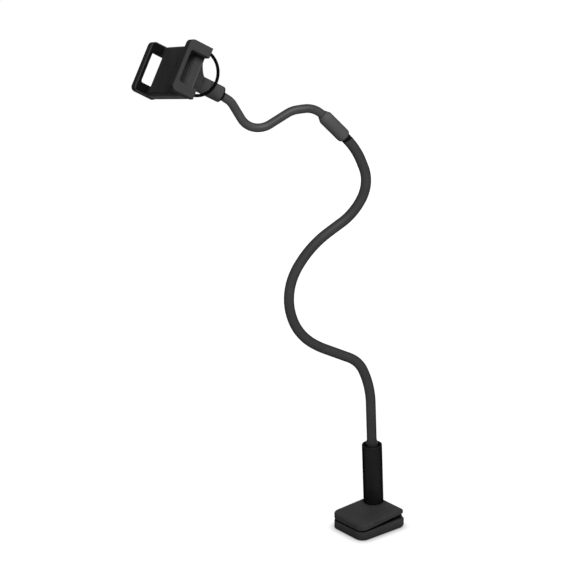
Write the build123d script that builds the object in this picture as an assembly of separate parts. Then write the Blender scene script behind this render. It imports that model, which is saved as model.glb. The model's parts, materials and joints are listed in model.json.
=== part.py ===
from build123d import *
import os
from math import atan2, copysign, cos, degrees, pi, radians, sin, sqrt

# Gooseneck phone holder: a sprung table clip carries a post, the post carries a bent
# two-piece gooseneck, and a ball joint at its end carries a cradle with two sprung grips.
# Millimetres. X runs from the clip's tip to its hinge, Z is up, and the origin is the
# middle of the clip's underside. Everything above the hinge is drawn with the upper jaw
# level and is then turned about the hinge to where the closed jaws meet at the tip.

# Clip jaws: each plate is a wedge, with its thickness given at the tip and at the hinge end
JAW_WIDTH = 57.0
TIP_CORNER = 10.5
HEEL_CORNER = 4.6
LOWER_LENGTH = 71.0
LOWER_TIP = 10.4
LOWER_HEEL = 12.0
LOWER_HEEL_ROUND = 8.0
UPPER_TIP = 8.2
UPPER_HEEL = 5.6
UPPER_PAST_PIN = 5.0
UPPER_HEEL_ROUND = 4.2
HEEL_STAND_OFF = 0.4
TIP_SETBACK = 0.2
JAW_TILT = 3.0
LOWER_EDGE = 1.8
UPPER_EDGE = 2.6
INNER_EDGE = 1.2
UNDER_EDGE = 1.4

# Clip hinge and spring
HINGE_HEIGHT = 10.7
EAR_RADIUS = 6.2
EAR_THICK = 6.4
EAR_INSET = 6.0
EAR_GAP = 0.4
PLATE_GAP = 1.2
LUG_THICK = 6.0
LUG_RADIUS = 5.6
PIN_DIAMETER = 4.0
PIN_SETBACK = 1.4
PIN_CHAMFER = 0.4
RUNNING_FIT = 0.05
SPRING_WIRE = 1.6
SPRING_DIAMETER = 8.4
SPRING_TURNS = 6
SPRING_PITCH = 1.9
SPRING_LEG = 15.0
LEG_SLOT = 2.6

# Clip pads
PAD_LENGTH = 24.0
PAD_CORNER = 5.0
PAD_INSET = 3.2
PAD_RECESS = 0.6
PAD_GAP = 0.3
PAD_EDGE = 0.35

# Post and its screw
POST_DIAMETER = 24.6
POST_HEIGHT = 77.0
POST_FROM_HINGE_EDGE = 13.1
POST_FROM_BACK_EDGE = 14.9
POST_BORE = 19.0
POST_FLOOR = 20.0
POST_MOUTH = 1.0
POST_FOOT = 1.0
POST_SCREW = 5.0
POST_SCREW_GRIP = 14.0
POST_SCREW_HEAD = 9.0
POST_SCREW_HEAD_THICK = 3.0
POST_SCREW_POINT = 1.0
DRIVE_SOCKET = 4.0
DRIVE_DEPTH = 2.0

# Ferrule that holds the neck in the post
FERRULE_SHOULDER = 12.0
FERRULE_FLOOR = 14.0
COLLAR_DIAMETER = 14.2
COLLAR_ABOVE_POST = 1.5
STEP_DIAMETER = 13.0
STEP_ABOVE_POST = 5.0

# Gooseneck: steps from corner to corner as (reach, rise, bend radius), up from the plate
ARM_HEADING = 157.8
LOWER_NECK = 12.0
UPPER_NECK = 10.0
SLEEVE_WALL = 1.5
CORE_GAP = 0.2
SEAT_FIT = 0.05
LOWER_STEPS = [
    (0.0, 154.0, 118.0),
    (13.5, 34.5, 37.5),
    (48.5, 26.0, 100.0),
    (25.0, 18.5, 66.5),
    (17.0, 55.5, 75.0),
    (-34.5, 53.5, 119.0),
    (-55.0, 32.5, 70.0),
    (-21.0, 34.5, 45.0),
    (15.3, 43.6, 89.0),
]
UPPER_STEPS = [
    (48.0, 55.0, 28.0),
    (27.2, -0.6, 30.0),
    (30.5, -15.0, 25.0),
    (21.5, -2.0, 24.5),
    (18.5, 35.7, 22.0),
]
BALL_STEP = (16.2, 12.7)

# Coupling between the two necks
COUPLING_DIAMETER = 16.6
COUPLING_START = 21.0
COUPLING_BARREL = 33.5
COUPLING_TAPER = 5.5
COUPLING_TIP_WALL = 0.7
COUPLING_DOME = 4.0
COUPLING_ROUND = 3.0
COUPLING_SOCKET = 15.0
COUPLING_WEB = 5.0
STUD_DIAMETER = 5.0
STUD_REACH = 7.0

# Ball joint
BALL_DIAMETER = 13.0
STEM_DIAMETER = 6.4
BALL_TO_NECK = 9.0
STEM_IN_NECK = 6.0
BALL_FIT = 0.06
BALL_DEPTH = 46.5
NUT_DIAMETER = 18.8
NUT_WALL = 1.75
NUT_PAST_BALL = 6.5
NUT_MOUTH = 13.0
NUT_ROUND = 1.2
NUT_GAP = 0.4
SPIGOT_LENGTH = 8.6
SPIGOT_WALL = 1.5
THREAD_FIT = 0.1
REAR_SEAT_LENGTH = 2.0
REAR_SEAT_SETBACK = 0.8
REAR_SEAT_LIP = 1.6
FRONT_SEAT_LENGTH = 8.0

# Cradle: where it faces, as heading, rise and roll of its front
FACE_HEADING = 161.5
FACE_RISE = 32.7
FACE_ROLL = 15.0
CRADLE_WIDTH = 114.0
CRADLE_LENGTH = 60.0
CRADLE_HEIGHT = 28.0
FLOOR_HEIGHT = 11.0
GRIP_THICK = 11.0
GRIP_CORNER = 5.5
GRIP_EDGE = 1.3
GRIP_INNER_EDGE = 0.4
LIP_BAR = 5.1
SIDE_BAR = 11.7
WINDOW_CORNER = 2.5
GRIP_GAP = 0.4

# Cradle housing, cover and screws
WALL = 2.4
FLOOR_THICK = 2.4
COVER_THICK = 2.4
HOUSING_CORNER = 2.5
HOUSING_BEVEL = 1.4
COVER_EDGE = 1.6
FLARE_LENGTH = 26.0
FLARE_STEPS = 6
FLARE_POINTS = 20
FLARE_CURVE = 1.2
FLARE_SQUARENESS = 3.6
FLARE_INSET = 2.4
FLARE_TUCK = 0.6
BOSS_LENGTH = 7.6
BOSS_ROOT = 8.0
POCKET = (62.0, 24.0)
POCKET_END = (14.0, 12.0)
POCKET_DEPTH = 17.0
SCREW_PLACE = 38.0
SCREW_DIAMETER = 2.5
SCREW_HEAD = 5.0
SCREW_HEAD_THICK = 1.4
SCREW_LENGTH = 7.6
SCREW_BOSS = 6.0
SCREW_POINT = 0.8
CROSS_LENGTH = 3.0
CROSS_WIDTH = 0.7

# Grip tongues and springs inside the housing
TONGUE_WIDTH = 9.0
TONGUE_THICK = 2.5
TONGUE_GAP = 0.4
TONGUE_SHORT = 11.0
TAB_THICK = 5.0
TAB_REACH = 14.0
COIL_WIRE = 0.8
COIL_DIAMETER = 4.6
COIL_PLACE = 11.0
COIL_TURNS = 9

# Soft pads in the cradle
TRAY_PAD_INSET = 1.6
TRAY_PAD_THICK = 1.2
TRAY_PAD_RECESS = 0.5
TRAY_PAD_CORNER = 2.0
GRIP_PAD_INSET = 1.6
GRIP_PAD_THICK = 1.0
PAD_BEVEL = 0.25

# Cable hoop behind the cradle
HOOP_RADIUS = 25.5
HOOP_WIRE = 3.6
HOOP_SIDE = 40.0
HOOP_RAISE = 2.2
HOOP_SETBACK = -1.0
HOOP_SOCKET = 1.8

# Derived places on the clip
HINGE_X = LOWER_LENGTH / 2 - EAR_RADIUS
UNDERSIDE = HINGE_HEIGHT + EAR_RADIUS + PLATE_GAP
PLATE_TOP = UNDERSIDE + UPPER_HEEL
UPPER_REAR = HINGE_X + UPPER_PAST_PIN
UPPER_LENGTH = UPPER_REAR + LOWER_LENGTH / 2 - TIP_SETBACK
UPPER_MID = UPPER_REAR - UPPER_LENGTH / 2
LOWER_SLOPE = (LOWER_HEEL - LOWER_TIP) / LOWER_LENGTH
UPPER_SLOPE = (UPPER_TIP - UPPER_HEEL) / UPPER_LENGTH
POST_X = UPPER_REAR - POST_FROM_HINGE_EDGE
POST_Y = JAW_WIDTH / 2 - POST_FROM_BACK_EDGE
UNDER_POST = UNDERSIDE - (UPPER_REAR - POST_X) * UPPER_SLOPE
PLATE_AT_POST = PLATE_TOP - UNDER_POST
EAR_OUTER = JAW_WIDTH / 2 - EAR_INSET
EAR_INNER = EAR_OUTER - EAR_THICK
PIN_REACH = EAR_OUTER - PIN_SETBACK
LUG_MID = EAR_INNER - EAR_GAP - LUG_THICK / 2
TROUGH_RADIUS = EAR_RADIUS + EAR_GAP

# Pads lie on the sloping inner faces and almost meet at their tip edges
PAD_WIDTH = JAW_WIDTH - 2 * PAD_INSET
PAD_TIP = -LOWER_LENGTH / 2 + PAD_INSET
PAD_MID = PAD_TIP + PAD_LENGTH / 2
LOWER_AT_TIP = LOWER_TIP + PAD_INSET * LOWER_SLOPE
UPPER_AT_TIP = UNDERSIDE - (UPPER_REAR - PAD_TIP) * UPPER_SLOPE
TIP_GAP = (
    HINGE_HEIGHT
    + (UPPER_AT_TIP - HINGE_HEIGHT) * cos(radians(JAW_TILT))
    - (HINGE_X - PAD_TIP) * sin(radians(JAW_TILT))
    - LOWER_AT_TIP
)
PAD_PROUD = (TIP_GAP - PAD_GAP) / 2
LOWER_PAD_PLACE = Location(
    (PAD_MID, 0, LOWER_AT_TIP + PAD_LENGTH / 2 * LOWER_SLOPE),
    (0, -degrees(atan2(LOWER_SLOPE, 1)), 0),
)
UPPER_PAD_PLACE = Location(
    (PAD_MID, 0, UPPER_AT_TIP + PAD_LENGTH / 2 * UPPER_SLOPE),
    (0, -degrees(atan2(UPPER_SLOPE, 1)), 0),
) * Rot(180, 0, 0)

# Everything above the hinge turns with the upper jaw
ARM_PLACE = (
    Location((HINGE_X, 0, HINGE_HEIGHT))
    * Location((0, 0, 0), (0, -JAW_TILT, 0))
    * Location((-HINGE_X, 0, -HINGE_HEIGHT))
)
REACH = Vector(cos(radians(ARM_HEADING)), sin(radians(ARM_HEADING)), 0)
FOOT = Vector(POST_X, POST_Y, PLATE_TOP)


def neck_step(reach, rise):
    """A step in the neck's upright plane."""
    return REACH * reach + Vector(0, 0, rise)


def neck_corners(start, steps):
    """The corners that steps lead to from a start."""
    corners = [start]
    for reach, rise, _ in steps:
        corners.append(corners[-1] + neck_step(reach, rise))
    return corners[1:]


# The run that the coupling sits on, and the run that ends in the ball
LOWER_CORNERS = neck_corners(FOOT, LOWER_STEPS)
UPPER_CORNERS = neck_corners(LOWER_CORNERS[-1], UPPER_STEPS)
RUN_START = LOWER_CORNERS[-1]
RUN_AXIS = (UPPER_CORNERS[0] - RUN_START).normalized()
BALL = UPPER_CORNERS[-1] + neck_step(*BALL_STEP)
STEM_AXIS = (BALL - UPPER_CORNERS[-1]).normalized()
COUPLING_BASE = RUN_START + RUN_AXIS * COUPLING_START
LOWER_END = COUPLING_BASE + RUN_AXIS * COUPLING_SOCKET
UPPER_START = LOWER_END + RUN_AXIS * COUPLING_WEB
UPPER_END = BALL - STEM_AXIS * BALL_TO_NECK
NECK_FOOT_RISE = POST_FLOOR + FERRULE_FLOOR

# Cradle frame: X across the grips, Y along their length, Z out of the tray
FACE = Vector(
    cos(radians(FACE_RISE)) * cos(radians(FACE_HEADING)),
    cos(radians(FACE_RISE)) * sin(radians(FACE_HEADING)),
    sin(radians(FACE_RISE)),
)
LEVEL = Vector(0, 0, 1).cross(FACE).normalized()
ACROSS = LEVEL * cos(radians(FACE_ROLL)) + FACE.cross(LEVEL) * sin(radians(FACE_ROLL))
CRADLE_PLANE = Plane(origin=BALL + FACE * BALL_DEPTH, x_dir=ACROSS, z_dir=FACE)
CRADLE_PLACE = ARM_PLACE * CRADLE_PLANE.location

# Derived places in the cradle
GRIP_INNER = CRADLE_WIDTH / 2 - GRIP_THICK
HOUSING_HALF = GRIP_INNER - GRIP_GAP
HALF_LENGTH = CRADLE_LENGTH / 2
CAVITY_TOP = FLOOR_HEIGHT - FLOOR_THICK
CAVITY_HALF = HOUSING_HALF - WALL
TONGUE_OUTER = HALF_LENGTH - WALL + TONGUE_GAP
TONGUE_MID = TONGUE_OUTER - TONGUE_GAP - TONGUE_WIDTH / 2
LOW_TONGUE = COVER_THICK + TONGUE_GAP
HIGH_TONGUE = LOW_TONGUE + TONGUE_THICK + TONGUE_GAP
TONGUE_TOP = HIGH_TONGUE + TONGUE_THICK
TONGUE_END = HOUSING_HALF - TONGUE_SHORT
COIL_HEIGHT = (LOW_TONGUE + TONGUE_TOP) / 2
SPIGOT_RADIUS = NUT_DIAMETER / 2 - NUT_WALL - THREAD_FIT
BOSS_END = FLARE_LENGTH + BOSS_LENGTH
SPIGOT_END = BOSS_END + SPIGOT_LENGTH
SEAT_BORE = SPIGOT_RADIUS - SPIGOT_WALL
FRONT_SEAT_START = SPIGOT_END - FRONT_SEAT_LENGTH
REAR_SEAT_START = BALL_DEPTH + REAR_SEAT_SETBACK
NUT_SHOULDER = REAR_SEAT_START + REAR_SEAT_LENGTH + RUNNING_FIT
NUT_END = BALL_DEPTH + NUT_PAST_BALL
BALL_SEAT = BALL_DIAMETER / 2 + BALL_FIT


def rounded_plate(length, width, thick, corner):
    """A flat plate with rounded corners, standing on its middle."""
    return extrude(RectangleRounded(length, width, corner), thick)


def jaw_plate(length, tip, heel, heel_round):
    """A jaw's plate: flat below, sloping above, and its hinge end rounded up to a soft crease."""
    outline = Rectangle(length, JAW_WIDTH)
    outline = fillet(outline.vertices().sort_by(Axis.X)[:2], TIP_CORNER)
    outline = fillet(outline.vertices().sort_by(Axis.X)[-2:], HEEL_CORNER)
    end = length / 2
    side = make_face(
        Polyline((-end, 0, 0), (end, 0, 0), (end, 0, heel), (-end, 0, tip), close=True)
    )
    plate = extrude(outline, max(tip, heel)) & extrude(side, JAW_WIDTH, both=True)
    block = Pos(heel_round, 0, -heel_round) * Box(2 * heel_round, 2 * JAW_WIDTH, 2 * heel_round)
    block -= Cylinder(heel_round, 2 * JAW_WIDTH, rotation=(90, 0, 0))
    return plate - Pos(end - heel_round + HEEL_STAND_OFF, 0, heel_round) * block


def pad_recess(place):
    """What a jaw leaves out for its pad."""
    blank = rounded_plate(PAD_LENGTH, PAD_WIDTH, 2 * PAD_RECESS, PAD_CORNER)
    return place * Pos(0, 0, -PAD_RECESS) * blank


def rod(diameter, start, end):
    """A round rod between two points."""
    run = end - start
    return Plane(origin=start, z_dir=run) * extrude(Circle(diameter / 2), run.length)


def along_y(diameter, length):
    """A round bar on the hinge axis, centred on the clip's middle."""
    bar = Cylinder(diameter / 2, length, rotation=(90, 0, 0))
    return Pos(HINGE_X, 0, HINGE_HEIGHT) * bar


def outline_edges(part, level):
    """The edges that lie flat at one height."""
    return part.edges().filter_by_position(Axis.Z, level, level)


def turned(points):
    """A solid of revolution about Z from its half section, as (radius, height) points."""
    section = make_face(Polyline(*[(r, 0, z) for r, z in points], close=True))
    return revolve(section, Axis.Z)


def write(part, name, place):
    """Place a piece and write it as a node of its own."""
    placed = place * part
    solids = placed.solids()
    shape = solids[0] if len(solids) == 1 else Compound(children=list(solids))
    shape.label = name
    export_step(shape, f"parts/{name}.step")


# Clip

def lower_jaw():
    """Base plate with two ears near the hinge end and a trough for the lugs and spring."""
    plate = jaw_plate(LOWER_LENGTH, LOWER_TIP, LOWER_HEEL, LOWER_HEEL_ROUND)
    plate = fillet(plate.faces().sort_by(Axis.Z)[-1].edges(), LOWER_EDGE)
    plate = fillet(outline_edges(plate, 0), UNDER_EDGE)
    jaw = plate + along_y(2 * EAR_RADIUS, 2 * EAR_OUTER)
    trough = along_y(2 * TROUGH_RADIUS, 2 * EAR_INNER)
    opening = Pos(HINGE_X + LOWER_LENGTH / 2, 0, HINGE_HEIGHT - TROUGH_RADIUS + PLATE_TOP / 2)
    trough += opening * Box(LOWER_LENGTH, 2 * EAR_INNER, PLATE_TOP)
    jaw -= trough
    drill = JAW_WIDTH / 2 + PIN_REACH + RUNNING_FIT
    jaw -= Pos(0, JAW_WIDTH / 2 - drill / 2, 0) * along_y(PIN_DIAMETER + 2 * RUNNING_FIT, drill)
    slot_length = SPRING_LEG + SPRING_WIRE
    slot_floor = HINGE_HEIGHT - SPRING_DIAMETER / 2 - LEG_SLOT / 2
    slot = Pos(HINGE_X - slot_length / 2, -spring_half(), slot_floor + PLATE_TOP / 2)
    jaw -= slot * Box(slot_length, LEG_SLOT, PLATE_TOP)
    return jaw - pad_recess(LOWER_PAD_PLACE)


def upper_jaw():
    """Top plate with two lugs under its hinge end, drawn level."""
    plate = jaw_plate(UPPER_LENGTH, UPPER_TIP, UPPER_HEEL, UPPER_HEEL_ROUND)
    plate = fillet(plate.faces().sort_by(Axis.Z)[-1].edges(), INNER_EDGE)
    plate = fillet(outline_edges(plate, 0), UPPER_EDGE)
    jaw = Pos(UPPER_MID, 0, PLATE_TOP) * Rot(180, 0, 0) * plate
    web_depth = UNDERSIDE - HINGE_HEIGHT + UPPER_HEEL / 2
    for side in (-1, 1):
        lug = Pos(HINGE_X, side * LUG_MID, HINGE_HEIGHT) * Cylinder(
            LUG_RADIUS, LUG_THICK, rotation=(90, 0, 0)
        )
        web = Pos(HINGE_X - LUG_RADIUS / 2, side * LUG_MID, HINGE_HEIGHT + web_depth / 2)
        jaw += lug + web * Box(LUG_RADIUS, LUG_THICK, web_depth)
    jaw -= along_y(PIN_DIAMETER + 2 * RUNNING_FIT, JAW_WIDTH)
    screw_axis = Pos(POST_X, POST_Y, UNDER_POST)
    jaw -= screw_axis * Cylinder(POST_SCREW / 2 + SEAT_FIT, 2 * UPPER_TIP)
    head_space = POST_SCREW_HEAD_THICK + SEAT_FIT
    jaw -= screw_axis * Cylinder(POST_SCREW_HEAD / 2 + SEAT_FIT, 2 * head_space)
    return jaw - pad_recess(UPPER_PAD_PLACE)


def spring_half():
    """Half of the length of the torsion spring's coil, between its legs."""
    return SPRING_TURNS * SPRING_PITCH / 2


def clip_pad():
    """Rubber pad glued into its recess, standing on its glued face."""
    thick = PAD_RECESS + PAD_PROUD
    pad = rounded_plate(PAD_LENGTH - 2 * SEAT_FIT, PAD_WIDTH - 2 * SEAT_FIT, thick, PAD_CORNER)
    return fillet(outline_edges(pad, thick), PAD_EDGE)


def hinge_pin():
    """Steel pin through both ears and both lugs."""
    pin = along_y(PIN_DIAMETER, 2 * PIN_REACH)
    return chamfer(pin.edges(), PIN_CHAMFER)


def torsion_spring():
    """Coil round the hinge pin with one leg under the upper jaw and one in the lower jaw."""
    coil = Helix(SPRING_PITCH, SPRING_TURNS * SPRING_PITCH, SPRING_DIAMETER / 2)
    wire = Circle(SPRING_WIRE / 2)
    body = sweep(Plane(origin=coil @ 0, z_dir=coil % 0) * wire, path=coil, is_frenet=True)
    body = Rot(90, 0, 0) * Rot(0, 0, 90) * body
    body = Pos(0, spring_half(), 0) * body
    for end, rise in ((-1, -1), (1, 1)):
        start = Vector(0, end * spring_half(), rise * SPRING_DIAMETER / 2)
        body += rod(SPRING_WIRE, start, start - Vector(SPRING_LEG, 0, 0))
    return Pos(HINGE_X, 0, HINGE_HEIGHT) * body


# Post and neck

def post():
    """Round post, open at the top, with a tapped floor."""
    body = Cylinder(POST_DIAMETER / 2, POST_HEIGHT, align=(Align.CENTER, Align.CENTER, Align.MIN))
    body = chamfer(outline_edges(body, 0), POST_FOOT)
    body = fillet(outline_edges(body, POST_HEIGHT), POST_FOOT)
    bore = Cylinder(POST_BORE / 2, POST_HEIGHT, align=(Align.CENTER, Align.CENTER, Align.MIN))
    body -= Pos(0, 0, POST_FLOOR) * bore
    mouth = Cone(
        POST_BORE / 2, POST_BORE / 2 + POST_MOUTH, POST_MOUTH, align=(Align.CENTER, Align.CENTER, Align.MAX)
    )
    body -= Pos(0, 0, POST_HEIGHT) * mouth
    tapped = POST_SCREW_GRIP + SEAT_FIT
    body -= Cylinder(POST_SCREW / 2 + SEAT_FIT, tapped * 2)
    return Pos(FOOT) * body


def post_screw():
    """Socket screw that holds the post down from inside the upper jaw."""
    under = PLATE_AT_POST - POST_SCREW_HEAD_THICK
    screw = turned(
        [
            (0, -PLATE_AT_POST),
            (POST_SCREW_HEAD / 2, -PLATE_AT_POST),
            (POST_SCREW_HEAD / 2, -under),
            (POST_SCREW / 2, -under),
            (POST_SCREW / 2, POST_SCREW_GRIP - POST_SCREW_POINT),
            (POST_SCREW / 2 - POST_SCREW_POINT, POST_SCREW_GRIP),
            (0, POST_SCREW_GRIP),
        ]
    )
    socket = extrude(RegularPolygon(DRIVE_SOCKET / 2, 6), DRIVE_DEPTH)
    screw -= Pos(0, 0, -PLATE_AT_POST) * socket
    return Pos(FOOT) * screw


def ferrule():
    """Stepped end fitting of the neck, seated in the post's bore."""
    seat = POST_BORE / 2 - SEAT_FIT
    neck = LOWER_NECK / 2 + SEAT_FIT
    shoulder = POST_HEIGHT - FERRULE_SHOULDER
    return Pos(FOOT) * turned(
        [
            (0, POST_FLOOR),
            (seat, POST_FLOOR),
            (seat, shoulder),
            (COLLAR_DIAMETER / 2, shoulder),
            (COLLAR_DIAMETER / 2, POST_HEIGHT + COLLAR_ABOVE_POST),
            (STEP_DIAMETER / 2, POST_HEIGHT + COLLAR_ABOVE_POST),
            (STEP_DIAMETER / 2, POST_HEIGHT + STEP_ABOVE_POST),
            (neck, POST_HEIGHT + STEP_ABOVE_POST),
            (neck, NECK_FOOT_RISE),
            (0, NECK_FOOT_RISE),
        ]
    )


def bent_rod(diameter, start, corners, steps, end):
    """A round bar along straight runs joined by tangent arcs."""
    path = FilletPolyline(start, *corners, end, radius=[bend for _, _, bend in steps])
    disc = Plane(origin=path @ 0, z_dir=path % 0) * Circle(diameter / 2)
    return sweep(disc, path=path)


def lower_neck(diameter, top_setback):
    """The lower gooseneck at one diameter, from the ferrule into the coupling."""
    start = FOOT + Vector(0, 0, NECK_FOOT_RISE)
    end = LOWER_END - RUN_AXIS * top_setback
    return bent_rod(diameter, start, LOWER_CORNERS, LOWER_STEPS, end)


def upper_neck(diameter, start_setback, end_setback):
    """The upper gooseneck at one diameter, from the coupling to the ball's stem."""
    start = UPPER_START + RUN_AXIS * start_setback
    end = UPPER_END - STEM_AXIS * end_setback
    return bent_rod(diameter, start, UPPER_CORNERS, UPPER_STEPS, end)


def lower_sleeve():
    """Soft outer sleeve of the lower gooseneck."""
    return lower_neck(LOWER_NECK, 0) - lower_neck(LOWER_NECK - 2 * SLEEVE_WALL, 0)


def lower_core():
    """Bendable core of the lower gooseneck."""
    return lower_neck(LOWER_NECK - 2 * SLEEVE_WALL - 2 * CORE_GAP, STUD_REACH)


def upper_sleeve():
    """Soft outer sleeve of the upper gooseneck."""
    return upper_neck(UPPER_NECK, 0, 0) - upper_neck(UPPER_NECK - 2 * SLEEVE_WALL, 0, 0)


def upper_core():
    """Bendable core of the upper gooseneck."""
    diameter = UPPER_NECK - 2 * SLEEVE_WALL - 2 * CORE_GAP
    return upper_neck(diameter, STUD_REACH, STEM_IN_NECK)


def coupling():
    """Barrel that joins the two necks: a domed lower end and a taper to the thinner neck."""
    barrel = COUPLING_DIAMETER / 2
    lower = LOWER_NECK / 2 + SEAT_FIT
    upper = UPPER_NECK / 2 + SEAT_FIT
    hole = STUD_DIAMETER / 2 + SEAT_FIT
    length = COUPLING_BARREL + COUPLING_TAPER
    rim = lower + COUPLING_TIP_WALL
    dome = EllipticalCenterArc((rim, COUPLING_DOME), barrel - rim, COUPLING_DOME, 270, arc_size=90)
    rest = Polyline(
        (barrel, COUPLING_DOME),
        (barrel, COUPLING_BARREL),
        (upper + COUPLING_TIP_WALL, length),
        (upper, length),
        (upper, COUPLING_SOCKET + COUPLING_WEB),
        (hole, COUPLING_SOCKET + COUPLING_WEB),
        (hole, COUPLING_SOCKET),
        (lower, COUPLING_SOCKET),
        (lower, 0),
        (rim, 0),
    )
    body = revolve(Plane.XZ * make_face([dome, rest]), Axis.Z)
    shoulder = outline_edges(body, COUPLING_BARREL)
    body = fillet(shoulder, COUPLING_ROUND)
    return Plane(origin=COUPLING_BASE, z_dir=RUN_AXIS) * body


def coupling_stud():
    """Stud through the coupling's web that ties both cores together."""
    return rod(STUD_DIAMETER, LOWER_END - RUN_AXIS * STUD_REACH, UPPER_START + RUN_AXIS * STUD_REACH)


def ball_stud():
    """Ball on a stem that is pressed into the end of the upper neck."""
    ball = BALL_DIAMETER / 2
    stem = STEM_DIAMETER / 2
    shank = UPPER_NECK / 2 - SLEEVE_WALL - SEAT_FIT
    root = sqrt(ball**2 - stem**2)
    end = BALL_TO_NECK + STEM_IN_NECK
    bulge = ThreePointArc((0, ball), (ball, 0), (stem, -root))
    rest = Polyline(
        (stem, -root),
        (stem, -BALL_TO_NECK),
        (shank, -BALL_TO_NECK),
        (shank, -end),
        (0, -end),
        (0, ball),
    )
    stud = revolve(Plane.XZ * make_face([bulge, rest]), Axis.Z)
    return Plane(origin=BALL, z_dir=STEM_AXIS) * stud


# Ball socket, drawn in the cradle's frame with depth behind its back as negative Z

def front_seat():
    """Nylon cup in the spigot that bears on the front of the ball."""
    seat = Cylinder(
        SEAT_BORE - RUNNING_FIT, FRONT_SEAT_LENGTH, align=(Align.CENTER, Align.CENTER, Align.MIN)
    )
    return Pos(0, 0, -SPIGOT_END) * seat - Pos(0, 0, -BALL_DEPTH) * Sphere(BALL_SEAT)


def rear_seat():
    """Nylon ring in the nut that bears on the back of the ball."""
    outer = SPIGOT_RADIUS + THREAD_FIT - RUNNING_FIT
    ring = Cylinder(outer, REAR_SEAT_LENGTH, align=(Align.CENTER, Align.CENTER, Align.MAX))
    return Pos(0, 0, -REAR_SEAT_START) * ring - Pos(0, 0, -BALL_DEPTH) * Sphere(BALL_SEAT)


def lock_nut():
    """Round nut on the spigot that clamps the ball between the two seats."""
    outer = NUT_DIAMETER / 2
    bore = outer - NUT_WALL
    front = BOSS_END + NUT_GAP
    nut = turned(
        [
            (bore, -front),
            (outer, -front),
            (outer, -NUT_END),
            (NUT_MOUTH / 2, -NUT_END),
            (bore - REAR_SEAT_LIP, -NUT_SHOULDER),
            (bore, -NUT_SHOULDER),
        ]
    )
    rims = nut.edges().filter_by(GeomType.CIRCLE).filter_by(lambda e: abs(e.radius - outer) < 1e-6)
    return fillet(rims, NUT_ROUND)


# Cradle

def back_cover():
    """Cover plate that flares out into the threaded spigot of the ball joint."""
    plate = rounded_plate(2 * HOUSING_HALF, CRADLE_LENGTH, COVER_THICK, HOUSING_CORNER)
    plate = fillet(outline_edges(plate, 0), COVER_EDGE)
    boss = NUT_DIAMETER / 2
    spigot = turned(
        [
            (0, BOSS_ROOT - FLARE_LENGTH),
            (boss, BOSS_ROOT - FLARE_LENGTH),
            (boss, -BOSS_END),
            (SPIGOT_RADIUS, -BOSS_END),
            (SPIGOT_RADIUS, -SPIGOT_END),
            (SEAT_BORE, -SPIGOT_END),
            (SEAT_BORE, -FRONT_SEAT_START),
            (0, -FRONT_SEAT_START),
        ]
    )
    cover = plate + loft([flare_section(step / FLARE_STEPS) for step in range(FLARE_STEPS + 1)])
    cover += spigot
    mouth = Pos(0, 0, COVER_THICK) * Rectangle(*POCKET)
    cover -= loft([mouth, Pos(0, 0, -POCKET_DEPTH) * Rectangle(*POCKET_END)])
    for x in (-SCREW_PLACE, SCREW_PLACE):
        cover -= Pos(x, 0, 0) * Cylinder(SCREW_DIAMETER / 2 + SEAT_FIT, COVER_THICK * 3)
        well = Cylinder(
            SCREW_HEAD / 2 + SEAT_FIT, FLARE_LENGTH, align=(Align.CENTER, Align.CENTER, Align.MAX)
        )
        cover -= Pos(x, 0, SCREW_HEAD_THICK + SEAT_FIT) * well
    return cover - hoop_bar(HOOP_WIRE + 2 * SEAT_FIT)


def flare_section(share):
    """The flare's outline at a share of its length: squarish at the cover, round at the boss."""
    end = NUT_DIAMETER / 2 - FLARE_TUCK
    left = (1 - share) ** FLARE_CURVE
    across = end + (HOUSING_HALF - FLARE_INSET - end) * left
    along = end + (HALF_LENGTH - FLARE_INSET - end) * left
    power = 2 / (2 + (FLARE_SQUARENESS - 2) * left)
    points = []
    for step in range(FLARE_POINTS):
        turn = 2 * pi * step / FLARE_POINTS
        x = across * copysign(abs(cos(turn)) ** power, cos(turn))
        y = along * copysign(abs(sin(turn)) ** power, sin(turn))
        points.append((x, y))
    return Pos(0, 0, -FLARE_LENGTH * share) * make_face(Spline(*points, periodic=True))


def housing():
    """Open-backed tray: the floor the phone lies on, with slots for the grips' tongues."""
    depth = FLOOR_HEIGHT - COVER_THICK
    body = rounded_plate(2 * HOUSING_HALF, CRADLE_LENGTH, depth, HOUSING_CORNER)
    body = chamfer(outline_edges(body, depth), HOUSING_BEVEL)
    body = Pos(0, 0, COVER_THICK) * body
    cavity = Pos(0, 0, (COVER_THICK + CAVITY_TOP) / 2)
    body -= cavity * Box(2 * CAVITY_HALF, 2 * (HALF_LENGTH - WALL), CAVITY_TOP - COVER_THICK)
    slot_width = TONGUE_WIDTH + 2 * TONGUE_GAP
    slot_top = TONGUE_TOP + TONGUE_GAP
    for side in (-1, 1):
        slot = Pos(0, side * TONGUE_MID, (COVER_THICK + slot_top) / 2)
        body -= slot * Box(4 * HOUSING_HALF, slot_width, slot_top - COVER_THICK)
        boss = Pos(side * SCREW_PLACE, 0, (COVER_THICK + CAVITY_TOP) / 2)
        body += boss * Cylinder(SCREW_BOSS / 2, CAVITY_TOP - COVER_THICK)
        hole = Pos(side * SCREW_PLACE, 0, COVER_THICK)
        body -= hole * Cylinder(SCREW_DIAMETER / 2 + SEAT_FIT, 2 * SCREW_LENGTH - 2 * COVER_THICK)
    recess = Pos(0, 0, FLOOR_HEIGHT - TRAY_PAD_RECESS)
    return body - recess * tray_pad_blank(FLOOR_HEIGHT, 0)


def tray_pad_blank(thick, gap):
    """The tray pad's outline, drawn in by a gap on every side."""
    length = 2 * (HOUSING_HALF - HOUSING_BEVEL - TRAY_PAD_INSET - gap)
    width = CRADLE_LENGTH - 2 * (HOUSING_BEVEL + TRAY_PAD_INSET + gap)
    return rounded_plate(length, width, thick, TRAY_PAD_CORNER)


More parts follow.
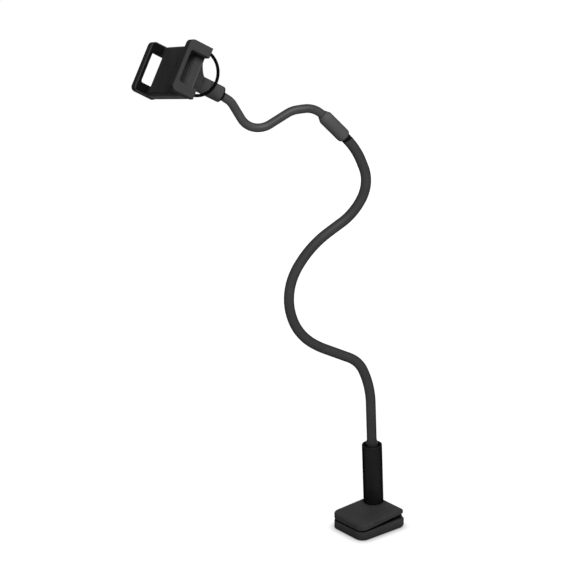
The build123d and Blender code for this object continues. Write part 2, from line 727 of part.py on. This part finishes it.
def tray_pad():
    """Soft pad let into the tray's floor."""
    pad = tray_pad_blank(TRAY_PAD_THICK, SEAT_FIT)
    pad = chamfer(outline_edges(pad, TRAY_PAD_THICK), PAD_BEVEL)
    return Pos(0, 0, FLOOR_HEIGHT - TRAY_PAD_RECESS) * pad


def grip_outline(inset, base):
    """Half frame of a grip seen from its side: lip bar and two side bars, open at the root."""
    top = CRADLE_HEIGHT - inset
    half = HALF_LENGTH - inset
    frame = Pos((base + top) / 2, 0) * Rectangle(top - base, 2 * half)
    lip = frame.vertices().sort_by(Axis.X)[-2:]
    frame = fillet(lip, GRIP_CORNER - inset)
    window_half = HALF_LENGTH - SIDE_BAR + inset
    window_top = CRADLE_HEIGHT - LIP_BAR + inset
    window = Pos(window_top / 2 - CRADLE_HEIGHT / 2, 0) * Rectangle(
        window_top + CRADLE_HEIGHT, 2 * window_half
    )
    window = fillet(window.vertices().sort_by(Axis.X)[-2:], WINDOW_CORNER + inset)
    return frame - window


def grip(tongue_floor):
    """Right-hand grip: window frame, two tongues and the tab that its spring pushes on."""
    stand = Plane(origin=(GRIP_INNER, 0, 0), x_dir=(0, 0, 1), z_dir=(1, 0, 0))
    frame = stand * extrude(grip_outline(0, 0), GRIP_THICK)
    outer_face = frame.faces().sort_by(Axis.X)[-1]
    frame = fillet(outer_face.edges(), GRIP_EDGE)
    inner_face = frame.faces().sort_by(Axis.X)[0]
    frame = chamfer(inner_face.edges(), GRIP_INNER_EDGE)
    reach = GRIP_INNER + GRIP_THICK / 2 + TONGUE_END
    for side in (-1, 1):
        tongue = Pos(reach / 2 - TONGUE_END, side * TONGUE_MID, tongue_floor + TONGUE_THICK / 2)
        frame += tongue * Box(reach, TONGUE_WIDTH, TONGUE_THICK)
    tab_side = TONGUE_MID - TONGUE_WIDTH / 2
    link = Pos(TAB_THICK / 2 - TONGUE_END, -tab_side + TAB_REACH / 2, tongue_floor + TONGUE_THICK / 2)
    frame += link * Box(TAB_THICK, TAB_REACH, TONGUE_THICK)
    face = Pos(
        TAB_THICK / 2 - TONGUE_END,
        -tab_side + TAB_REACH / 2 + TONGUE_GAP,
        COIL_HEIGHT,
    )
    frame += face * Box(TAB_THICK, TAB_REACH - 2 * TONGUE_GAP, TONGUE_TOP - LOW_TONGUE)
    return frame


def grip_pad():
    """Soft lining on the inner face of the right-hand grip."""
    stand = Plane(origin=(GRIP_INNER - GRIP_PAD_THICK, 0, 0), x_dir=(0, 0, 1), z_dir=(1, 0, 0))
    base = FLOOR_HEIGHT - TRAY_PAD_RECESS + TRAY_PAD_THICK + GRIP_GAP
    pad = stand * extrude(grip_outline(GRIP_PAD_INSET, base), GRIP_PAD_THICK)
    face = pad.faces().sort_by(Axis.X)[0]
    return chamfer(face.edges(), PAD_BEVEL)


def grip_spring():
    """Coil spring between the right-hand grip's tab and the housing's end wall."""
    first = TAB_THICK - TONGUE_END + COIL_WIRE / 2 + RUNNING_FIT
    last = CAVITY_HALF - COIL_WIRE / 2 - RUNNING_FIT
    length = last - first
    coil = Helix(length / COIL_TURNS, length, COIL_DIAMETER / 2)
    body = sweep(
        Plane(origin=coil @ 0, z_dir=coil % 0) * Circle(COIL_WIRE / 2), path=coil, is_frenet=True
    )
    return Pos(first, -COIL_PLACE, COIL_HEIGHT) * Rot(0, 90, 0) * body


def cover_screws():
    """The two screws that hold the cover on the housing."""
    screw = turned(
        [
            (0, 0),
            (SCREW_HEAD / 2, 0),
            (SCREW_HEAD / 2, SCREW_HEAD_THICK),
            (SCREW_DIAMETER / 2, SCREW_HEAD_THICK),
            (SCREW_DIAMETER / 2, SCREW_LENGTH - SCREW_POINT),
            (SCREW_DIAMETER / 2 - SCREW_POINT, SCREW_LENGTH),
            (0, SCREW_LENGTH),
        ]
    )
    for angle in (0, 90):
        screw -= Rot(0, 0, angle) * Box(CROSS_LENGTH, CROSS_WIDTH, SCREW_HEAD_THICK)
    return Compound(children=[Pos(x, 0, 0) * screw for x in (-SCREW_PLACE, SCREW_PLACE)])


def hoop_bar(diameter):
    """Round bar bent to most of a circle, with straight ends that run into the cover."""
    half_chord = sqrt(HOOP_RADIUS**2 - HOOP_SETBACK**2)
    lean = HOOP_SETBACK / HOOP_RADIUS
    end = Vector(HOOP_SOCKET * lean, HOOP_SOCKET * half_chord / HOOP_RADIUS)
    arc = ThreePointArc(
        (half_chord, 0), (0, -HOOP_SETBACK - HOOP_RADIUS), (-half_chord, 0)
    )
    first = Line((half_chord - end.X, end.Y), (half_chord, 0))
    last = Line((-half_chord, 0), (end.X - half_chord, end.Y))
    stand = Plane(origin=(HOOP_SIDE, HOOP_RAISE, 0), x_dir=(0, 1, 0), z_dir=(1, 0, 0))
    path = stand * Wire([first.edge(), arc.edge(), last.edge()])
    disc = Plane(origin=path @ 0, z_dir=path % 0) * Circle(diameter / 2)
    return sweep(disc, path=path)


def main():
    """Build every piece and write it."""
    os.makedirs("parts", exist_ok=True)
    still = Location()
    pad = clip_pad()
    write(lower_jaw(), "lower_jaw", still)
    sunk = Pos(0, 0, -PAD_RECESS)
    write(LOWER_PAD_PLACE * sunk * pad, "lower_jaw_pad", still)
    write(hinge_pin(), "hinge_pin", still)
    write(torsion_spring(), "clip_spring", still)
    write(upper_jaw(), "upper_jaw", ARM_PLACE)
    write(UPPER_PAD_PLACE * sunk * pad, "upper_jaw_pad", ARM_PLACE)
    write(post(), "post", ARM_PLACE)
    write(post_screw(), "post_screw", ARM_PLACE)
    write(ferrule(), "neck_ferrule", ARM_PLACE)
    write(lower_sleeve(), "lower_neck_sleeve", ARM_PLACE)
    write(lower_core(), "lower_neck_core", ARM_PLACE)
    write(coupling(), "neck_coupling", ARM_PLACE)
    write(coupling_stud(), "coupling_stud", ARM_PLACE)
    write(upper_sleeve(), "upper_neck_sleeve", ARM_PLACE)
    write(upper_core(), "upper_neck_core", ARM_PLACE)
    write(ball_stud(), "ball_stud", ARM_PLACE)
    write(front_seat(), "front_seat", CRADLE_PLACE)
    write(rear_seat(), "rear_seat", CRADLE_PLACE)
    write(lock_nut(), "lock_nut", CRADLE_PLACE)
    write(back_cover(), "back_cover", CRADLE_PLACE)
    write(housing(), "cradle_housing", CRADLE_PLACE)
    write(tray_pad(), "tray_pad", CRADLE_PLACE)
    write(cover_screws(), "cover_screws", CRADLE_PLACE)
    write(hoop_bar(HOOP_WIRE), "cable_hoop", CRADLE_PLACE)
    turned_round = Rot(0, 0, 180)
    for side, floor, turn in (("right", HIGH_TONGUE, Location()), ("left", LOW_TONGUE, turned_round)):
        write(turn * grip(floor), f"{side}_grip", CRADLE_PLACE)
        write(turn * grip_pad(), f"{side}_grip_pad", CRADLE_PLACE)
        write(turn * grip_spring(), f"{side}_grip_spring", CRADLE_PLACE)


main()
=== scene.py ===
import json
import bpy
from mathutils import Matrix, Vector


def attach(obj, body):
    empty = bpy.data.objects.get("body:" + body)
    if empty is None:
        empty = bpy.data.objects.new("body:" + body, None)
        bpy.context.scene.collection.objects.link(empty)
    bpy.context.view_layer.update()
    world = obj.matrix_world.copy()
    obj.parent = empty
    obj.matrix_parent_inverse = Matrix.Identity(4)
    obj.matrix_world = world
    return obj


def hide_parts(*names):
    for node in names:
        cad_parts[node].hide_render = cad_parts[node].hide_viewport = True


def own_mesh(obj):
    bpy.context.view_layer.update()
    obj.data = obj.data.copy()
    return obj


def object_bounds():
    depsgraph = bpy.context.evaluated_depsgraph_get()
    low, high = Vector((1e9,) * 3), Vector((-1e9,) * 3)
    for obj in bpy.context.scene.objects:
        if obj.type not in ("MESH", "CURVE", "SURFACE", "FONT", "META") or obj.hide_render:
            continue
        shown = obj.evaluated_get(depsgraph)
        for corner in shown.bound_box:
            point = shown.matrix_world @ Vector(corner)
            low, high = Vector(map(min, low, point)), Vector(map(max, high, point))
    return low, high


# Gooseneck phone holder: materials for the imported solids, a white studio floor, a soft key
# lamp at the front right with one behind, and a camera where the photograph was taken from.

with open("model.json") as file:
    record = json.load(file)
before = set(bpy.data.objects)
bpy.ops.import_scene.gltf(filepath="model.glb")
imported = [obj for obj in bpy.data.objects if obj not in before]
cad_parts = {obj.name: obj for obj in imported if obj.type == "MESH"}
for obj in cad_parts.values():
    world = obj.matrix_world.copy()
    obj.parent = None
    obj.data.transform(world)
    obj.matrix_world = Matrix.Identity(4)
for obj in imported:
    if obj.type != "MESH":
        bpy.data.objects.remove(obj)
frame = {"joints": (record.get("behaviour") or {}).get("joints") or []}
cad_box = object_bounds()

# Camera: place in metres, lens and sensor in millimetres
CAMERA_PLACE = Vector((-1.4791, -1.6588, 1.0636))
CAMERA_LOOK = Vector((0.5983, 0.7336, -0.3223))
LENS = 125.0
SENSOR = 36.0

# Soft boxes: place, target and size in metres, power in watts
LAMPS = {
    "key": dict(place=(-0.41, -0.81, 1.32), target=(-0.10, 0.04, 0.35), size=0.6, power=14.5),
    "back": dict(place=(1.10, 1.35, 0.75), target=(-0.05, 0.05, 0.30), size=1.6, power=22.0),
}

# World and floor: lengths in metres
WHITE = (1.0, 1.0, 1.0, 1.0)
WORLD_WHITE = 1.0
WORLD_FILL = 0.045
FLOOR_SIZE = 8.0
FLOOR_DROP = 0.0002
FLOOR_GLOW = 0.96
FLOOR_PAINT = (0.10, 0.10, 0.10, 1.0)
FLOOR_BOUNCE = (0.80, 0.80, 0.80, 1.0)
CONTACT_SHADOW_REACH = 0.010
GLOW_START = 0.10
GLOW_END = 0.55

# Moulded finishes: scales in features per metre, radius in metres; a gain multiplies the tone
CLOUD_SCALE = 38.0
CLOUD_LOW = 0.25
CLOUD_HIGH = 0.75
ROUGH_SPREAD = 0.06
MOTTLE = ((0.30, 0.88, -0.01), (0.52, 1.0, 0.0), (0.72, 1.14, 0.012))  # place, gain, warmth
SPECK_SCALE = 420.0
SPECK_LOW = 0.70
SPECK_HIGH = 0.80
DUST_SHARE = 0.35
DUST_GAIN = 1.7
DUST_LIFT = 0.01
EDGE_RADIUS = 0.0008
EDGE_TURN = 0.8
# Edges lighter partly from wear and partly as a painted highlight where fillets catch the light
WEAR_AND_HIGHLIGHT_GAIN = 1.6
WEAR_AND_HIGHLIGHT_LIFT = 0.012
# Painted shade: crevices darken towards a fraction of the tone where surfaces close a point in
OPEN_SKY = 0.85
DEEP_GAP = 0.25
SHADE_SHARE = 0.8
SHADE_GAIN = 0.15
GRAIN_STRENGTH = 0.6
NO_SHEEN = (0.0, 0.0, 0.0, 1.0)

# Bare metals: scales in features per metre, depth in metres
MARK_SCALE = 900.0
MARK_LOW = 0.3
MARK_HIGH = 0.7
MARK_SMOOTHEST = -0.08
MARK_ROUGHEST = 0.10
MARK_STRENGTH = 0.5
MARK_DEPTH = 0.00002
TARNISH_SCALE = 60.0
TARNISH_GAIN = 0.72
TARNISH_LOW = 0.3
TARNISH_HIGH = 0.65

# Darker zones of painted shade, in metres
ZONE_BORDER = 0.0002
# Painted shade: dark rings at the nut's mouth and at the neck's end in the coupling
SHADE_RING_TONE = 0.008
NUT_RING_WIDTH = 0.0020
NECK_RING_WIDTH = 0.0030
# Painted shade on the rims of the grips' windows
RIM_SHADE_TONE = 0.010
RIM_SHADE_DEPTH = 0.0030

scene = bpy.context.scene
scene.view_settings.view_transform = "Standard"


def node_tree(owner):
    """Empty node tree of a material or world, as (add, link)."""
    owner.use_nodes = True
    tree = owner.node_tree
    tree.nodes.clear()

    def add(kind, **values):
        node = tree.nodes.new(kind)
        for key, value in values.items():
            setattr(node, key, value)
        return node

    return add, tree.links.new


def noise(add, link, place, scale, detail, roughness, stretch=None):
    """Noise value in object space; scale is in features per metre."""
    if stretch is not None:
        mapping = add("ShaderNodeMapping")
        mapping.inputs["Scale"].default_value = stretch
        link(place, mapping.inputs["Vector"])
        place = mapping.outputs["Vector"]
    texture = add("ShaderNodeTexNoise")
    texture.inputs["Scale"].default_value = scale
    texture.inputs["Detail"].default_value = detail
    texture.inputs["Roughness"].default_value = roughness
    link(place, texture.inputs["Vector"])
    return texture.outputs["Fac"]


def ramp(add, link, value, stops):
    """Colour ramp; stops are (position, colour)."""
    node = add("ShaderNodeValToRGB")
    elements = node.color_ramp.elements
    while len(elements) < len(stops):
        elements.new(0.5)
    for element, (position, colour) in zip(elements, stops):
        element.position = position
        element.color = (*colour, 1.0)
    link(value, node.inputs["Fac"])
    return node.outputs["Color"]


def spread(add, link, value, low, high, new_low, new_high):
    """Value moved from one range into another, and kept within it."""
    node = add("ShaderNodeMapRange")
    for name, number in (
        ("From Min", low), ("From Max", high), ("To Min", new_low), ("To Max", new_high)
    ):
        node.inputs[name].default_value = number
    link(value, node.inputs["Value"])
    return node.outputs["Result"]


def product(add, link, first, second):
    """Two values multiplied."""
    node = add("ShaderNodeMath", operation="MULTIPLY")
    link(first, node.inputs[0])
    link(second, node.inputs[1])
    return node.outputs["Value"]


def openness(add, distance, samples):
    """1 in the open, falling to 0 where surfaces within a distance close a point in."""
    node = add("ShaderNodeAmbientOcclusion", samples=samples)
    node.inputs["Distance"].default_value = distance
    return node.outputs["AO"]


def edge_mask(add, link, most):
    """0 on open faces, rising to a most along edges and corners."""
    bevel = add("ShaderNodeBevel", samples=6)
    bevel.inputs["Radius"].default_value = EDGE_RADIUS
    geometry = add("ShaderNodeNewGeometry")
    dot = add("ShaderNodeVectorMath", operation="DOT_PRODUCT")
    link(bevel.outputs["Normal"], dot.inputs[0])
    link(geometry.outputs["Normal"], dot.inputs[1])
    return spread(add, link, dot.outputs["Value"], 1.0, EDGE_TURN, 0.0, most)


def zone_mask(add, link, place, limits):
    """1 past every one of some places along their axes, with narrow soft borders."""
    total = None
    for axis, start in limits:
        along = add("ShaderNodeVectorMath", operation="DOT_PRODUCT")
        along.inputs[1].default_value = axis
        link(place, along.inputs[0])
        share = spread(
            add, link, along.outputs["Value"], start - ZONE_BORDER, start + ZONE_BORDER, 0.0, 1.0
        )
        total = share if total is None else product(add, link, total, share)
    return total


def mix_colour(add, link, share, first, second):
    """Colour mixed from first to second."""
    node = add("ShaderNodeMix", data_type="RGBA")
    link(share, node.inputs["Factor"])
    for socket, colour in ((node.inputs["A"], first), (node.inputs["B"], second)):
        if isinstance(colour, tuple):
            socket.default_value = (*colour, 1.0)
        else:
            link(colour, socket)
    return node.outputs["Result"]


def grey(level, warmth=0.0):
    """Near-neutral colour as moulded black plastics have."""
    return (level * (1.0 + warmth), level, level * (1.0 - warmth))


def coat(add, link, shader, height, strength, depth):
    """Bumps a shader's surface and makes it the material's output."""
    bump = add("ShaderNodeBump")
    bump.inputs["Strength"].default_value = strength
    bump.inputs["Distance"].default_value = depth
    link(height, bump.inputs["Height"])
    link(bump.outputs["Normal"], shader.inputs["Normal"])
    output = add("ShaderNodeOutputMaterial")
    link(shader.outputs["BSDF"], output.inputs["Surface"])


def moulded(
    name, tone, rough, grain, depth, wear_and_highlight, specular=0.0, metallic=0.0, brush=None,
    shade_reach=0.007, shade_zone=None
):
    """Moulded, coated or rubber surface: mottled tone, fine grain, dust, edges lightened partly
    by wear and partly as a painted highlight, and painted shade darkening crevices.

    Its last argument is (limits, tone) of a darker zone of painted shade past every (axis,
    start) of the limits.
    """
    material = bpy.data.materials.new(name)
    add, link = node_tree(material)
    place = add("ShaderNodeTexCoord").outputs["Object"]
    cloud = noise(add, link, place, CLOUD_SCALE, detail=4.0, roughness=0.6)
    fine = noise(add, link, place, 1.0 / grain, detail=3.0, roughness=0.55, stretch=brush)
    base = ramp(
        add, link, cloud,
        [(position, grey(tone * gain, warmth)) for position, gain, warmth in MOTTLE],
    )
    speck = noise(add, link, place, SPECK_SCALE, detail=1.0, roughness=0.4)
    dust = spread(add, link, speck, SPECK_LOW, SPECK_HIGH, 0.0, DUST_SHARE)
    base = mix_colour(add, link, dust, base, grey(tone * DUST_GAIN + DUST_LIFT))
    # Edges lightened partly as wear and partly as a painted highlight
    worn_and_highlit = edge_mask(add, link, wear_and_highlight)
    base = mix_colour(add, link, worn_and_highlit, base, grey(tone * WEAR_AND_HIGHLIGHT_GAIN + WEAR_AND_HIGHLIGHT_LIFT))
    # Painted shade: a darker zone past the given places
    if shade_zone is not None:
        limits, shade_tone = shade_zone
        base = mix_colour(
            add, link, zone_mask(add, link, place, limits), base, grey(shade_tone)
        )
    # Painted shade: darker colour in crevices and gaps, where surfaces close a point in
    hollow = openness(add, shade_reach, samples=8)
    painted_shade = spread(add, link, hollow, OPEN_SKY, DEEP_GAP, 0.0, SHADE_SHARE)
    base = mix_colour(add, link, painted_shade, base, grey(tone * SHADE_GAIN))
    shader = add("ShaderNodeBsdfPrincipled")
    shader.inputs["Metallic"].default_value = metallic
    shader.inputs["Specular IOR Level"].default_value = specular
    if metallic:
        shader.inputs["Specular Tint"].default_value = NO_SHEEN
    link(base, shader.inputs["Base Color"])
    link(
        spread(
            add, link, cloud, CLOUD_LOW, CLOUD_HIGH, rough - ROUGH_SPREAD, rough + ROUGH_SPREAD
        ),
        shader.inputs["Roughness"],
    )
    coat(add, link, shader, fine, GRAIN_STRENGTH, depth)
    return material


def metal(name, colour, rough, stretch):
    """Bare metal with drawn or turned marks."""
    material = bpy.data.materials.new(name)
    add, link = node_tree(material)
    place = add("ShaderNodeTexCoord").outputs["Object"]
    marks = noise(add, link, place, MARK_SCALE, detail=3.0, roughness=0.6, stretch=stretch)
    cloud = noise(add, link, place, TARNISH_SCALE, detail=3.0, roughness=0.6)
    darker = tuple(channel * TARNISH_GAIN for channel in colour)
    base = ramp(add, link, cloud, [(TARNISH_LOW, darker), (TARNISH_HIGH, colour)])
    shader = add("ShaderNodeBsdfPrincipled")
    shader.inputs["Metallic"].default_value = 1.0
    link(base, shader.inputs["Base Color"])
    link(
        spread(
            add, link, marks, MARK_LOW, MARK_HIGH, rough + MARK_SMOOTHEST, rough + MARK_ROUGHEST
        ),
        shader.inputs["Roughness"],
    )
    coat(add, link, shader, marks, MARK_STRENGTH, MARK_DEPTH)
    return material


def reach(node, axis):
    """Least and most that a node's points lie along an axis."""
    along = [vertex.co.dot(axis) for vertex in bpy.data.objects[node].data.vertices]
    return min(along), max(along)


def long_axis(node):
    """Direction from a node's lowest point to its highest."""
    points = sorted(
        (vertex.co for vertex in bpy.data.objects[node].data.vertices),
        key=lambda point: point.z,
    )
    return (points[-1] - points[0]).normalized()


def grip_rim_shade(side):
    """Zone of a grip that its pad frames: the rim of the window, in painted shade nearly as dark
    as the pad.
    """
    pad = f"{side}_grip_pad"
    inward = -axes[f"{side}_slide"]
    across = inward.cross(nut_back)
    limits = [(inward, reach(pad, inward)[0] - RIM_SHADE_DEPTH)]
    for axis in (nut_back, -nut_back, across, -across):
        limits.append((axis, reach(pad, axis)[0]))
    return limits, RIM_SHADE_TONE


# Painted shade rings: at the nut's mouth, and on the lower neck where it enters the coupling
axes = {joint["name"]: Vector(joint["axis"]) for joint in frame["joints"]}
nut_back = -axes["nut_turn"]
nut_shade_ring = ([(nut_back, reach("lock_nut", nut_back)[1] - NUT_RING_WIDTH)], SHADE_RING_TONE)
coupling_up = long_axis("coupling_stud")
neck_shade_ring = (
    [(coupling_up, reach("neck_coupling", coupling_up)[0] - NECK_RING_WIDTH)], SHADE_RING_TONE
)

# Finishes: tone, roughness, grain size and depth in metres, edge wear and painted highlight,
# gloss
PLASTIC = dict(rough=0.55, grain=0.00050, depth=0.00003)
RUBBER = dict(rough=0.80, grain=0.00035, depth=0.00004, wear_and_highlight=0.1)
SLEEVE = dict(rough=0.50, grain=0.00055, depth=0.00008, wear_and_highlight=0.0, metallic=0.38)
MOULDED = {
    "jaw_plastic": dict(PLASTIC, tone=0.061, wear_and_highlight=0.12, shade_reach=0.012),
    "pad_rubber": dict(RUBBER, tone=0.008),
    "tray_rubber": dict(RUBBER, tone=0.070),
    "post_metal": dict(
        tone=0.018, rough=0.36, grain=0.00022, depth=0.000012, wear_and_highlight=0.2, metallic=0.40,
        brush=(1.0, 1.0, 0.15), shade_reach=0.003
    ),
    "ferrule_plastic": dict(
        tone=0.060, rough=0.40, grain=0.00045, depth=0.00002, wear_and_highlight=0.2, specular=0.02
    ),
    # The lower sleeve is a darker copy of the same rubber as the upper: painted shade on the
    # lower neck
    "lower_sleeve_shaded": dict(SLEEVE, tone=0.056, shade_zone=neck_shade_ring),
    "upper_sleeve": dict(SLEEVE, tone=0.070),
    "coupling_plastic": dict(PLASTIC, tone=0.096, rough=0.66, wear_and_highlight=0.1, metallic=0.15),
    "housing_plastic": dict(PLASTIC, tone=0.055, rough=0.60, wear_and_highlight=0.1, specular=0.012),
    "cover_plastic": dict(PLASTIC, tone=0.079, wear_and_highlight=0.1),
    "nut_plastic": dict(PLASTIC, tone=0.074, wear_and_highlight=0.1, shade_zone=nut_shade_ring),
    "left_grip_plastic": dict(
        PLASTIC, tone=0.056, wear_and_highlight=0.0, shade_reach=0.025, shade_zone=grip_rim_shade("left")
    ),
    "right_grip_plastic": dict(PLASTIC, tone=0.055, wear_and_highlight=0.08, shade_zone=grip_rim_shade("right")),
    "hoop_plastic": dict(PLASTIC, tone=0.004, depth=0.00002, wear_and_highlight=0.0),
    "nylon": dict(
        tone=0.60, rough=0.45, grain=0.00060, depth=0.00002, wear_and_highlight=0.1, specular=0.35
    ),
}
DRAWN = (1.0, 0.08, 1.0)
TURNED = (1.0, 1.0, 0.2)
METALS = {
    "steel": dict(colour=(0.56, 0.56, 0.57), rough=0.34, stretch=DRAWN),
    "dark_steel": dict(colour=(0.10, 0.10, 0.102), rough=0.40, stretch=DRAWN),
    "black_steel": dict(colour=(0.030, 0.030, 0.031), rough=0.34, stretch=TURNED),
    "neck_core": dict(colour=(0.60, 0.60, 0.61), rough=0.40, stretch=TURNED),
}
finishes = {name: moulded(name, **values) for name, values in MOULDED.items()}
finishes.update({name: metal(name, **values) for name, values in METALS.items()})

NODES_OF = {
    "jaw_plastic": ["lower_jaw", "upper_jaw"],
    "pad_rubber": ["lower_jaw_pad", "upper_jaw_pad", "left_grip_pad", "right_grip_pad"],
    "tray_rubber": ["tray_pad"],
    "steel": ["post_screw", "coupling_stud", "left_grip_spring", "right_grip_spring"],
    "dark_steel": ["hinge_pin", "clip_spring", "cover_screws"],
    "black_steel": ["ball_stud"],
    "post_metal": ["post"],
    "ferrule_plastic": ["neck_ferrule"],
    "lower_sleeve_shaded": ["lower_neck_sleeve"],
    "upper_sleeve": ["upper_neck_sleeve"],
    "neck_core": ["lower_neck_core", "upper_neck_core"],
    "coupling_plastic": ["neck_coupling"],
    "housing_plastic": ["cradle_housing"],
    "cover_plastic": ["back_cover"],
    "nut_plastic": ["lock_nut"],
    "left_grip_plastic": ["left_grip"],
    "right_grip_plastic": ["right_grip"],
    "nylon": ["front_seat", "rear_seat"],
    "hoop_plastic": ["cable_hoop"],
}
for finish, nodes in NODES_OF.items():
    for node in nodes:
        piece = bpy.data.objects[node]
        piece.data.materials.clear()
        piece.data.materials.append(finishes[finish])

# Each grip's spring gets a mesh of its own, carried by the cradle, and the imported one is
# hidden
for side in ("left", "right"):
    node = f"{side}_grip_spring"
    coil = bpy.data.objects.new(f"{side}_grip_coil", bpy.data.objects[node].data.copy())
    scene.collection.objects.link(coil)
    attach(coil, "cradle")
    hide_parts(node)
    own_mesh(coil)


def seen_rays(add, link):
    """1 for what the camera, a reflection or a transparent surface looks at, else 0."""
    path = add("ShaderNodeLightPath")
    total = path.outputs["Is Camera Ray"]
    for name in ("Is Glossy Ray", "Is Transmission Ray"):
        most = add("ShaderNodeMath", operation="MAXIMUM")
        link(total, most.inputs[0])
        link(path.outputs[name], most.inputs[1])
        total = most.outputs["Value"]
    return total


def seen_or_not(add, link, unseen, seen, output):
    """Gives an output one shader where it is looked at, and another where it lights."""
    choose = add("ShaderNodeMixShader")
    link(seen_rays(add, link), choose.inputs["Fac"])
    link(unseen, choose.inputs[1])
    link(seen, choose.inputs[2])
    link(choose.outputs["Shader"], add(output).inputs["Surface"])


# World: white where it is looked at, a soft grey fill where it lights
world = bpy.data.worlds.new("studio")
scene.world = world
add, link = node_tree(world)
fill = add("ShaderNodeBackground")
fill.inputs["Color"].default_value = WHITE
fill.inputs["Strength"].default_value = WORLD_FILL
white = add("ShaderNodeBackground")
white.inputs["Color"].default_value = WHITE
white.inputs["Strength"].default_value = WORLD_WHITE
seen_or_not(
    add, link, fill.outputs["Background"], white.outputs["Background"], "ShaderNodeOutputWorld"
)

# Floor: a white one that throws light back up; where it is looked at, grey paint that keeps the
# shadow, lifted to white except close to what stands on it, where a painted contact shadow
# darkens it
floor_mesh = bpy.data.meshes.new("floor")
half = FLOOR_SIZE / 2.0
floor_mesh.from_pydata(
    [(-half, -half, 0.0), (half, -half, 0.0), (half, half, 0.0), (-half, half, 0.0)],
    [],
    [(0, 1, 2, 3)],
)
floor = bpy.data.objects.new("floor", floor_mesh)
floor.location.z = cad_box[0][2] - FLOOR_DROP
scene.collection.objects.link(floor)
paint = bpy.data.materials.new("floor_paint")
add, link = node_tree(paint)
matte = add("ShaderNodeBsdfDiffuse")
matte.inputs["Color"].default_value = FLOOR_PAINT
glow = add("ShaderNodeEmission")
glow.inputs["Color"].default_value = WHITE
distance = add("ShaderNodeVectorMath", operation="LENGTH")
link(add("ShaderNodeTexCoord").outputs["Object"], distance.inputs[0])
lift = product(
    add, link, seen_rays(add, link),
    spread(add, link, distance.outputs["Value"], GLOW_START, GLOW_END, FLOOR_GLOW, 1.0),
)
# Painted contact shadow: the floor's white lift darkens close to what stands on it
painted_contact_shadow = openness(add, CONTACT_SHADOW_REACH, samples=16)
link(product(add, link, lift, painted_contact_shadow), glow.inputs["Strength"])
both = add("ShaderNodeAddShader")
link(matte.outputs["BSDF"], both.inputs[0])
link(glow.outputs["Emission"], both.inputs[1])
bounce = add("ShaderNodeBsdfDiffuse")
bounce.inputs["Color"].default_value = FLOOR_BOUNCE
seen_or_not(
    add, link, bounce.outputs["BSDF"], both.outputs["Shader"], "ShaderNodeOutputMaterial"
)
floor_mesh.materials.append(paint)


def aim(item, place, direction):
    """Puts a lamp or camera into the scene at a place, facing along a direction."""
    item.location = place
    item.rotation_euler = direction.to_track_quat("-Z", "Y").to_euler()
    scene.collection.objects.link(item)


# Lamps
for name, values in LAMPS.items():
    lamp = bpy.data.lights.new(name, "AREA")
    lamp.shape = "SQUARE"
    lamp.size = values["size"]
    lamp.energy = values["power"]
    place = Vector(values["place"])
    aim(bpy.data.objects.new(name, lamp), place, Vector(values["target"]) - place)

# Camera
camera_data = bpy.data.cameras.new("camera")
camera_data.lens = LENS
camera_data.sensor_width = SENSOR
camera = bpy.data.objects.new("camera", camera_data)
aim(camera, CAMERA_PLACE, CAMERA_LOOK)
scene.camera = camera
